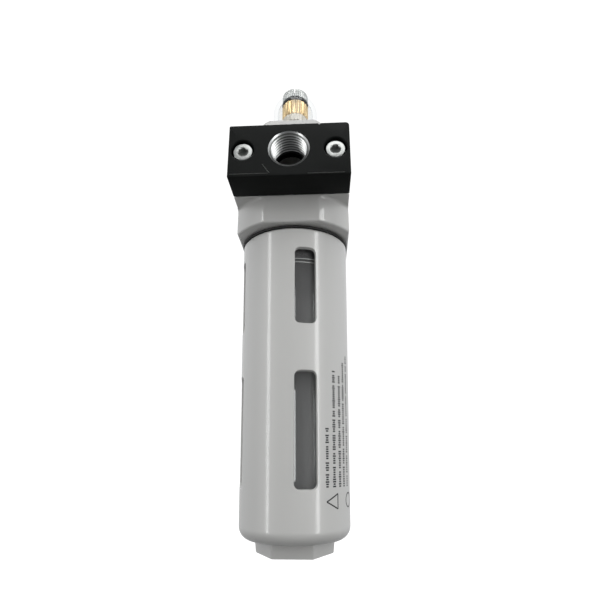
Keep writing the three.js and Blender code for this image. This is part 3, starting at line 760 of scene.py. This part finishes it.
def counterbore(node):
    """The stepped hole for a plate screw."""
    r, edge = SINK["r"], SINK["edge"]
    sink = PLATE_LOW.y - box_mm(node)[0].y - SINK["floor"]
    back = PLATE_LOW.y - PLATE_HIGH.y - OVER
    profile = filleted([
        (0, back),
        (SINK["hole_r"], back),
        (SINK["hole_r"], sink),
        (r, sink, SINK["fillet"]),
        (r, -edge),
        (r + edge, 0),
        (r + edge, OVER),
        (0, OVER),
    ])
    hole = lathe("counterbore", profile, MEDIUM)
    move(hole, shift(middle(node).x, PLATE_LOW.y, PORT_Z) @ TO_FRONT)
    return paint_piece(hole, LOOKS["black_paint"])


def plate_lines():
    """The engraved base line in two lengths and the slanted barb at the end of one."""
    z = PLATE_LOW.z + LINES["rise"]
    low_z = z - LINES["step"]
    left, right = LINES["left"], LINES["right"]
    start, end = BARB["start"], BARB["end"]
    return [
        groove("line_left", (left[0], z), (left[1], z)),
        groove("barb", (start[0], z + start[1]), (end[0], z + end[1])),
        groove("line_right", (right[0], low_z), (right[1], low_z)),
    ]


def port_plate():
    """The front port plate: threaded port, two counterbores and engraved lines."""
    slab = paint_piece(plate_slab(), LOOKS["black_paint"])
    front = shift(0, PLATE_LOW.y, PORT_Z) @ TO_FRONT
    back = PLATE_LOW.y - PLATE_HIGH.y - OVER
    passage = hollow("passage", [(THREAD["passage"], back), (THREAD["passage"], -THREAD["length"] + OVER)])
    paint_piece(move(passage, front), LOOKS["black_paint"])
    holes = [counterbore("front_plate_screw_left"), counterbore("front_plate_screw_right")]
    combine(slab, [move(threaded_core(), front), passage] + holes)
    combine(slab, plate_lines())
    return finish_piece(slab, "front_port_plate")


def rear_copy(obj, name, node):
    """The same piece at the rear end, turned half round about Z."""
    mesh = obj.data.copy()
    mesh.transform(Matrix.Rotation(math.pi, 4, "Z"))
    copy = bpy.data.objects.new(name, mesh)
    bpy.context.scene.collection.objects.link(copy)
    return finish_piece(copy, node)


def cap_screw(name, turn):
    """A knurled socket-head screw, its head's top at height 0."""
    r, rim, under = SCREW["head_r"], SCREW["rim"], -SCREW["head_h"]
    shank_r, end, point = SCREW["shank_r"], -SCREW["length"], SCREW["point"]
    knurl_low, knurl_high = under + SCREW["foot"], -rim - 0.2

    def knurl(angle, z):
        knurled = knurl_low - 0.1 < z < knurl_high + 0.1
        return -SCREW["knurl"] * abs(math.sin(angle * SCREW["knurls"] / 2)) if knurled else 0

    profile = [(0, end), (shank_r - point, end), (shank_r, end + point), (shank_r, under), (r, under)]
    profile += [(r, knurl_low), (r, knurl_high), (r, -rim)]
    profile += arc((r - rim, -rim), rim, 10, 90, steps=4) + [(0, 0)]
    body = paint_piece(lathe(name, profile, 4 * SCREW["knurls"], knurl), LOOKS["zinc_steel"])
    # The key socket's walls get the darker painted shade.
    key = prism("key", hexagon(SCREW["key"], turn), -SCREW["key_depth"], OVER)
    wide, deep = SCREW["key"] / math.sqrt(3) + 0.1, SCREW["lead"]
    lead = hollow("lead", [(wide - deep, -deep), (wide, 0), (wide, OVER)])
    return combine(body, [paint_piece(key, RECESS_SHADE), paint_piece(lead, LOOKS["zinc_steel"])])


def plate_screws():
    """The four screws, each with its key socket at a slightly different turn."""
    for end, side, quarter in (("front", 0, 1), ("rear", 1, -1)):
        lay_down = Matrix.Rotation(quarter * math.pi / 2, 4, "X")
        for hand, turn in KEY_TURN.items():
            node = f"{end}_plate_screw_{hand}"
            top_y = box_mm(node)[side].y
            screw = cap_screw(node + "_fine", turn)
            move(screw, shift(middle(node).x, top_y, PORT_Z) @ lay_down)
            finish_piece(screw, node)


# ---------------------------------------------------------------- guard, bowl and rings


def guard_radius(z):
    """The radius of the guard's tapered outer face at a height."""
    share = (z - GUARD["low_z"]) / (GUARD["top_z"] - GUARD["low_z"])
    return GUARD["low_r"] + (GUARD["top_r"] - GUARD["low_r"]) * share


def slot_cutter(span, angle):
    """A rounded slot that widens into a small chamfer at the guard's outer face."""
    centre = sum(span) / 2
    half = (span[1] - span[0]) / 2
    face = guard_radius(centre)
    lean = face - guard_radius(span[0])
    chamfer = SLOT["chamfer"]
    sections = (  # radius, growth, whether it follows the taper
        (face - SLOT["reach"], 0, False),
        (face - 2 * chamfer, 0, True),
        (face + OVER, 2.2 * chamfer, True),
    )
    rings = []
    for reach, grow, follows in sections:
        outline = rounded_rectangle(SLOT["width"] / 2 + grow, half + grow, SLOT["r"] + grow)
        rings.append([(x, -reach - follows * lean * v / half, centre + v) for x, v in outline])
    return move(skin("slot", rings), Matrix.Rotation(angle, 4, "Z"))


def guard_shell():
    """The tapered wall with its rounded foot and narrower neck."""
    low_r, top_r, top_z, wall = GUARD["low_r"], GUARD["top_r"], GUARD["top_z"], GUARD["wall"]
    neck_r, neck_in_r, neck_z = GUARD["neck_r"], GUARD["neck_in_r"], GUARD_HIGH.z
    drain, recess = HEX["drain_r"], HEX["h"] - HEX["recess"]
    outline = [(drain, recess), (HEX["recess_r"], recess), (HEX["recess_r"], HEX["h"])]
    outline += arc((GUARD["foot_r"], GUARD["low_z"]), low_r - GUARD["foot_r"], -90, 0, steps=14)
    outline += [(top_r, top_z - LIP["height"]), (top_r - LIP["width"], top_z)]
    outline += [(neck_r, top_z), (neck_r, neck_z), (neck_in_r, neck_z), (neck_in_r, GUARD["shoulder_z"])]
    outline += [(guard_radius(GUARD["taper_z"]) - wall, GUARD["taper_z"]), (low_r - wall, CORNER["z"])]
    outline += arc((CORNER["r"], CORNER["z"]), GUARD["corner_r"], 0, -90, steps=10)
    outline += [(drain, GUARD["floor_z"])]
    return lathe("guard_cast", outline)


def guard_nut():
    """The spanner hexagon under the guard, slightly tapered, with a softened lower edge."""
    corners = [(*polar(HEX["r"], math.radians(60 * i)), HEX["corner"]) for i in range(6)]
    outline = filleted(corners, steps=5)
    levels = HEX_LEVELS + ((HEX_TOP["share"], HEX["h"] + HEX_TOP["sunk"]),)
    return skin("hexagon", [[(x * k, y * k, z) for x, y in outline] for k, z in levels])


def bowl_guard():
    """The slotted metal guard with its spanner hexagon and drain hole."""
    shell = combine(guard_shell(), [guard_nut()], "UNION")
    quarters = [math.radians(90 * i) for i in range(4)]
    slots = [slot_cutter(span, SLOT["turn"] + quarter) for span in SLOT["spans"] for quarter in quarters]
    r, edge = HEX["drain_r"], HEX["drain_edge"]
    drain = hollow("drain", [(r + edge, -OVER), (r + edge, 0), (r, edge), (r, GUARD["floor_z"] + OVER)])
    combine(shell, slots + [drain])
    return finish_piece(paint_piece(shell, LOOKS["grey_paint"]), "bowl_guard")


class GuardPrint:
    """Strokes printed on the guard, each a thin body. Places are (degrees from the front, height)."""

    def __init__(self):
        self.points = []
        self.faces = []

    def flat_place(self, place):
        """A place as (length round the guard, height)."""
        return Vector((math.radians(place[0]) * guard_radius(place[1]), place[1]))

    def stroke(self, start, end, width):
        """A stroke that follows the guard's curve, in short straight bodies."""
        pieces = max(1, math.ceil(abs(end[0] - start[0]) / INK["bend"]))
        stops = [Vector(start).lerp(Vector(end), i / pieces) for i in range(pieces + 1)]
        for here, there in zip(stops, stops[1:]):
            self.short_stroke(self.flat_place(here), self.flat_place(there), width)

    def short_stroke(self, a, b, width):
        along = (b - a).normalized()
        across = Vector((-along.y, along.x)) * width / 2
        first = len(self.points)
        for lift in (-INK["sunk"], INK["proud"]):
            for p in (a - across, b - across, b + across, a + across):
                r = guard_radius(p.y)
                turn = p.x / r
                self.points.append(((r + lift) * math.sin(turn), -(r + lift) * math.cos(turn), p.y))
        self.faces += [[first + i for i in (0, 1, 2, 3)], [first + i for i in (7, 6, 5, 4)]]
        for i in range(4):
            k = (i + 1) % 4
            self.faces.append([first + i, first + i + 4, first + k + 4, first + k])

    def row(self, degrees, low, high, height):
        """An upright row of short ticks in groups, with no letters in it."""
        z = low
        left = random.randint(*TICK["first_group"])
        while z < high:
            half = math.degrees(height * random.choice(TICK["halves"]) / guard_radius(z))
            self.stroke((degrees - half, z), (degrees + half, z), TICK["width"])
            left -= 1
            z += TICK["step"]
            if left <= 0:
                left = random.randint(*TICK["group"])
                z += TICK["step"]

    def loop(self, places):
        """A closed line through the places."""
        for here, there in zip(places, places[1:] + places[:1]):
            self.stroke(here, there, INK["line"])


def guard_print():
    """Rows of unlettered ticks, a plain triangle and a plain ring on the guard's right side."""
    random.seed(7)
    marks = GuardPrint()
    for degrees, high, height in ROWS:
        marks.row(degrees, ROW_FOOT, high, height)
    marks.loop(TRIANGLE)
    turns = [2 * math.pi * i / CIRCLE["sides"] for i in range(CIRCLE["sides"])]
    turn, z, half_turn, half_z = (CIRCLE[key] for key in ("turn", "z", "half_turn", "half_z"))
    marks.loop([(turn + half_turn * math.cos(a), z + half_z * math.sin(a)) for a in turns])
    ink = mesh_object("guard_print", marks.points, marks.faces)
    face_outwards(ink)
    paint_piece(ink, PRINT)
    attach(ink, BODY_OF["bowl_guard"])


def bowl():
    """The clear bowl: tapered wall with two fine ribs that carry a painted highlight, flange and spigot."""
    low_r, neck_r, neck_z, spigot_r = BOWL["low_r"], BOWL["neck_r"], BOWL["neck_z"], BOWL["spigot_r"]
    flange_r, flange_z, flange_top = BOWL["flange_r"], BOWL["flange_z"], BOWL["flange_top"]
    seat_r, well_r, well_z = BOWL["seat_r"], BOWL["well_r"], BOWL["well_z"]
    low, high = box_mm("bowl")
    inner_r = low_r - BOWL["wall"]
    rib, half = RIB["height"], RIB["width"] / 2

    def wall_r(z):
        return low_r + (neck_r - low_r) * (z - CORNER["z"]) / (neck_z - CORNER["z"])

    def on_rib(r, z):
        return z < neck_z and r > wall_r(z) + rib / 2

    outline = [(0, low.z), (CORNER["r"], low.z)]
    outline += arc((CORNER["r"], CORNER["z"]), low_r - CORNER["r"], -80, 0, steps=12)
    for z in RIB["at"]:
        r = wall_r(z)
        outline += [(r, z - half - rib), (r + rib, z - half), (r + rib, z + half), (r, z + half + rib)]
    outline += [(neck_r, neck_z), (neck_r, flange_z), (flange_r, flange_z), (flange_r, flange_top)]
    outline += [(spigot_r, flange_top), (spigot_r, high.z), (seat_r, high.z), (seat_r, BOWL["seat_z"])]
    outline += [(BOWL["taper_r"], BOWL["taper_z"]), (inner_r, well_z)]
    outline += arc((well_r, well_z), inner_r - well_r, -10, -90, steps=10)
    outline += [(0, well_z - inner_r + well_r)]
    clear_bowl = paint_piece(lathe("bowl_clear", outline), LOOKS["bowl_plastic"])
    # The ribs' outer faces get the lighter painted highlight.
    return finish_piece(paint_faces(clear_bowl, RIB_HIGHLIGHT, on_rib), "bowl")


def round_ring(node, corner=0.5):
    """A ring with rounded corners in the place of a flat CAD ring."""
    low, high = box_mm(node)
    outer = (high.x - low.x) / 2
    inner = outer - RING_WIDTH[node]
    places = ((inner, low.z), (outer, low.z), (outer, high.z), (inner, high.z))
    ring = lathe(node + "_fine", filleted([(r, z, corner) for r, z in places]))
    move(ring, shift(middle(node).x, middle(node).y, 0))
    return finish_piece(paint_piece(ring, LOOKS[SLOT_OF[node]]), node)


# ---------------------------------------------------------------- sight dome, metering screw, filler plug


def sight_dome():
    """The clear dome: a thick wall that curves in to a short open neck, over a flange."""
    low, high = box_mm("sight_dome")
    r, wall, arc_r, neck_r, spigot_r = (DOME[key] for key in ("r", "wall", "arc_r", "neck_r", "spigot_r"))
    flange_r, rest_z, top = DOME["flange_r"], BOSS_Z + DOME["rest"], DOME["flange_z"]
    (edge_w, edge_h), (foot_w, foot_h) = DOME["flange_edge"], DOME["foot_edge"]
    centre = (r - arc_r, DOME["arc_z"])
    outer_end = math.degrees(math.asin((high.z - centre[1]) / arc_r))
    inner_end = math.degrees(math.acos((neck_r - centre[0]) / (arc_r - wall)))
    outline = [(r - wall, low.z), (spigot_r, low.z), (spigot_r, rest_z), (flange_r, rest_z)]
    outline += [(flange_r, top - edge_h), (flange_r - edge_w, top), (r + foot_w, top + foot_h)]
    outline += [(r, DOME["shoulder_z"])] + arc(centre, arc_r, 0, outer_end, steps=20)
    outline += [(neck_r, high.z)] + arc(centre, arc_r - wall, inner_end, 0, steps=16)
    return finish_piece(paint_piece(lathe("dome_clear", outline), LOOKS["clear_plastic"]), "sight_dome")


def metering_body():
    """The brass body inside the dome, with upright flutes."""
    low, high = box_mm("metering_body")
    ring_low, ring_high = box_mm("metering_oring")
    r = (high.x - low.x) / 2
    seal_z = ring_low.z - SEAL_GAP
    stem_r = (ring_high.x - ring_low.x) / 2 - RING_WIDTH["metering_oring"] - SEAL_GAP
    flutes, margin, edge = METER["flutes"], METER["margin"], METER["edge"]
    valve = (METER["valve_r"], METER["valve_z"])

    def flute(angle, z):
        fluted = low.z + margin < z < seal_z - margin
        return -METER["depth"] * abs(math.cos(angle * flutes / 2)) ** 1.5 if fluted else 0

    outline = [(valve[0], low.z), (r - edge - 0.2, low.z), (r - edge, low.z + 0.2), (r, low.z + edge)]
    outline += [(r, seal_z - edge), (r - edge, seal_z - 0.1), (r - edge, seal_z), (stem_r, seal_z)]
    outline += [(stem_r, high.z), (METER["bore_r"], high.z), (METER["bore_r"], valve[1]), valve]
    body = lathe("metering_brass", outline, flutes * 12, flute)
    return finish_piece(paint_piece(body, LOOKS["brass"]), "metering_body")


def metering_screw():
    """The bright head with a notch over its top and down two sides, on a hollow stem."""
    low, high = box_mm("metering_screw")
    r = (high.x - low.x) / 2
    under = box_mm("metering_oring")[1].z + 2 * SEAL_GAP
    bore_r, bore_z, stem_r, edge = HEAD["bore_r"], HEAD["bore_z"], HEAD["stem_r"], HEAD["edge"]
    outline = filleted([
        (0, bore_z),
        (bore_r, bore_z),
        (bore_r, low.z),
        (stem_r, low.z),
        (stem_r, under),
        (r, under, HEAD["foot"]),
        (r, under + 2 * HEAD["foot"]),
        (r, high.z - edge - 0.7),
        (r, high.z, edge),
        (0, high.z),
    ])

    def knurl(angle, z):
        knurled = under + 0.3 < z < high.z - edge - 0.2
        return -HEAD["knurl"] * abs(math.sin(angle * HEAD["knurls"] / 2)) if knurled else 0

    screw = paint_piece(lathe("metering_head", outline, 6 * HEAD["knurls"], knurl), LOOKS["zinc_steel"])
    half, reach, depth = HEAD["notch"] / 2, r + OVER, HEAD["notch_depth"]

    # Each notch cutter leaves its walls with the darker painted shade.
    def notch(name, y0, y1, z0):
        cutter = prism(name, [(-half, y0), (half, y0), (half, y1), (-half, y1)], z0, high.z + OVER)
        return paint_piece(cutter, RECESS_SHADE)

    notches = [
        notch("notch_top", -reach, reach, high.z - depth),
        notch("notch_front", -reach, depth - r, under - OVER),
        notch("notch_rear", r - depth, reach, under - OVER),
    ]
    return finish_piece(combine(screw, notches), "metering_screw")


def filler_plug():
    """The knurled black plug with a key socket in its head."""
    low, high = box_mm("filler_plug")
    place = middle("filler_plug")
    r = (high.x - low.x) / 2
    under = box_mm("filler_oring")[1].z + SEAL_GAP
    shank_r, edge, foot = FILLER["hole_r"] - PLUG["play"], PLUG["edge"], PLUG["foot"]
    knurl_low, knurl_high = under + foot + 0.4, high.z - edge - 0.4

    def knurl(angle, z):
        knurled = knurl_low - 0.1 < z < knurl_high + 0.1
        return -PLUG["knurl"] * abs(math.sin(angle * PLUG["knurls"] / 2)) if knurled else 0

    outline = [(0, low.z), (shank_r - edge, low.z), (shank_r, low.z + edge), (shank_r, under)]
    outline += [(r - foot, under), (r, under + foot), (r, knurl_low), (r, knurl_high)]
    outline += arc((r - edge, high.z - edge), edge, 0, 90, steps=4) + [(0, high.z)]
    plug = lathe("filler_plug_fine", outline, PLUG["knurls"] * 6, knurl)
    combine(plug, [prism("key", hexagon(PLUG["key"]), high.z - PLUG["key_depth"], high.z + OVER)])
    paint_piece(plug, LOOKS["black_plastic"])
    return finish_piece(move(plug, shift(place.x, place.y, 0)), "filler_plug")


def keep_cad_nodes():
    """Pieces seen only through clear walls or in the ports keep their CAD shape, with a material."""
    for node, obj in frame["nodes"].items():
        obj.data.materials.clear()
        obj.data.materials.append(LOOKS[SLOT_OF[node]])
        smooth(obj.data)


# ---------------------------------------------------------------- studio

CAMERA = {
    "eye": (12.94, -206.3, 36.13),
    "pan": -2.926,
    "pitch": 18.952,
    "roll": 0.13,
    "lens": 27.486,
    "sensor": 36,
    "near": 0.01,
}
FLOOR = {"z": -160, "half": 3000, "seen": 1.2, "bounce": 0.08, "mottle": 0.02, "grain": 40}
SURROUND = {
    "seen": 1.1,
    "colour": (0.97, 0.98, 1, 1),
    "front_to_back": ("Y", -1, 0.1, 0.265, 0.78),  # axis, from, to, strength at each end
    "below_to_above": ("Z", -0.9, 0.4, 0.42, 1.07),
}
AIM_Z = 110  # the height that the lights face
LIGHTS = (  # name, azimuth, height, distance, size, power at the drawn size
    ("strip_left", -52, 160, 700, (80, 900), 1.9),
    ("strip_right", 50, 160, 700, (100, 900), 2.4),
    ("above", 10, 900, 600, (600, 600), 3.0),
)


def floor():
    """A pale floor below the dropped bowl: seen white, with a dim bounce, and see-through from below."""
    nodes = Nodes("floor_look")
    path = nodes.add("ShaderNodeLightPath")
    dark, light = (FLOOR["bounce"],) * 3, (FLOOR["bounce"] + FLOOR["mottle"],) * 3
    matt = nodes.add("ShaderNodeBsdfDiffuse")
    nodes.link(nodes.tinted(nodes.noise(FLOOR["grain"]), dark, light), matt.inputs["Color"])
    white = nodes.add("ShaderNodeEmission", Color=WHITE, Strength=FLOOR["seen"])
    mix = nodes.add("ShaderNodeMixShader")
    nodes.link(path.outputs["Is Camera Ray"], mix.inputs["Fac"])
    nodes.link(matt.outputs["BSDF"], mix.inputs[1])
    nodes.link(white.outputs["Emission"], mix.inputs[2])
    facing = nodes.add("ShaderNodeNewGeometry")
    through = nodes.add("ShaderNodeBsdfTransparent")
    one_sided = nodes.add("ShaderNodeMixShader")
    nodes.link(facing.outputs["Backfacing"], one_sided.inputs["Fac"])
    nodes.link(mix.outputs["Shader"], one_sided.inputs[1])
    nodes.link(through.outputs["BSDF"], one_sided.inputs[2])
    nodes.link(one_sided.outputs["Shader"], nodes.output.inputs["Surface"])
    half, z = FLOOR["half"], FLOOR["z"]
    corners = [(-half, -half, z), (half, -half, z), (half, half, z), (-half, half, z)]
    slab = mesh_object("floor", corners, [(0, 1, 2, 3)])
    paint_piece(slab, nodes.material)
    slab.visible_glossy = False
    slab.visible_shadow = False


def world():
    """White behind the object, and a surround for what it reflects: dimmer in front and below."""
    studio = bpy.data.worlds.new("studio")
    studio.use_nodes = True
    tree = studio.node_tree
    tree.nodes.clear()
    path = tree.nodes.new("ShaderNodeLightPath")
    seen = tree.nodes.new("ShaderNodeBackground")
    seen.inputs["Color"].default_value = WHITE
    seen.inputs["Strength"].default_value = SURROUND["seen"]
    lit = tree.nodes.new("ShaderNodeBackground")
    lit.inputs["Color"].default_value = SURROUND["colour"]
    place = tree.nodes.new("ShaderNodeTexCoord")
    split = tree.nodes.new("ShaderNodeSeparateXYZ")
    tree.links.new(place.outputs["Generated"], split.inputs["Vector"])
    product = tree.nodes.new("ShaderNodeMath")
    product.operation = "MULTIPLY"
    ramps = (SURROUND["front_to_back"], SURROUND["below_to_above"])
    for i, (axis, start, end, low, high) in enumerate(ramps):
        ramp = tree.nodes.new("ShaderNodeMapRange")
        ramp.interpolation_type = "SMOOTHSTEP"
        for name, value in (("From Min", start), ("From Max", end), ("To Min", low), ("To Max", high)):
            ramp.inputs[name].default_value = value
        tree.links.new(split.outputs[axis], ramp.inputs["Value"])
        tree.links.new(ramp.outputs["Result"], product.inputs[i])
    tree.links.new(product.outputs["Value"], lit.inputs["Strength"])
    mix = tree.nodes.new("ShaderNodeMixShader")
    out = tree.nodes.new("ShaderNodeOutputWorld")
    tree.links.new(path.outputs["Is Camera Ray"], mix.inputs["Fac"])
    tree.links.new(lit.outputs["Background"], mix.inputs[1])
    tree.links.new(seen.outputs["Background"], mix.inputs[2])
    tree.links.new(mix.outputs["Shader"], out.inputs["Surface"])
    bpy.context.scene.world = studio


def softbox(name, azimuth, height, distance, size, power):
    """An area light that faces the object. Azimuth is in degrees from -Y towards +X, lengths as drawn."""
    light = bpy.data.lights.new(name, "AREA")
    light.shape = "RECTANGLE"
    light.size, light.size_y = size[0] * MM, size[1] * MM
    light.energy = power * SIZE**2
    obj = bpy.data.objects.new(name, light)
    bpy.context.scene.collection.objects.link(obj)
    a = math.radians(azimuth)
    place = Vector((math.sin(a) * distance, -math.cos(a) * distance, height)) * MM
    target = Vector((0, 0, AIM_Z)) * MM
    obj.location = place
    obj.rotation_euler = (target - place).to_track_quat("-Z", "Y").to_euler()


def lights():
    for light in LIGHTS:
        softbox(*light)


def camera():
    """The camera stands close in front, a little above the foot, and looks up."""
    pan, pitch, roll = (math.radians(CAMERA[key]) for key in ("pan", "pitch", "roll"))
    data = bpy.data.cameras.new("camera")
    data.sensor_width = CAMERA["sensor"]
    data.lens = CAMERA["lens"]
    data.clip_start = CAMERA["near"]
    obj = bpy.data.objects.new("camera", data)
    bpy.context.scene.collection.objects.link(obj)
    tilt = Matrix.Rotation(math.pi / 2 + pitch, 4, "X")
    turn = Matrix.Rotation(-pan, 4, "Z") @ tilt @ Matrix.Rotation(-roll, 4, "Z")
    obj.matrix_world = shift(*CAMERA["eye"]) @ turn
    bpy.context.scene.camera = obj


# ---------------------------------------------------------------- scene

keep_cad_nodes()
housing()
front_plate = port_plate()
rear_copy(front_plate, "rear_plate_cast", "rear_port_plate")
plate_screws()
bowl_guard()
guard_print()
bowl()
for ring_node in RING_WIDTH:
    round_ring(ring_node)
sight_dome()
metering_body()
metering_screw()
filler_plug()
floor()
world()
lights()
camera()
bpy.context.scene.view_settings.view_transform = "Standard"
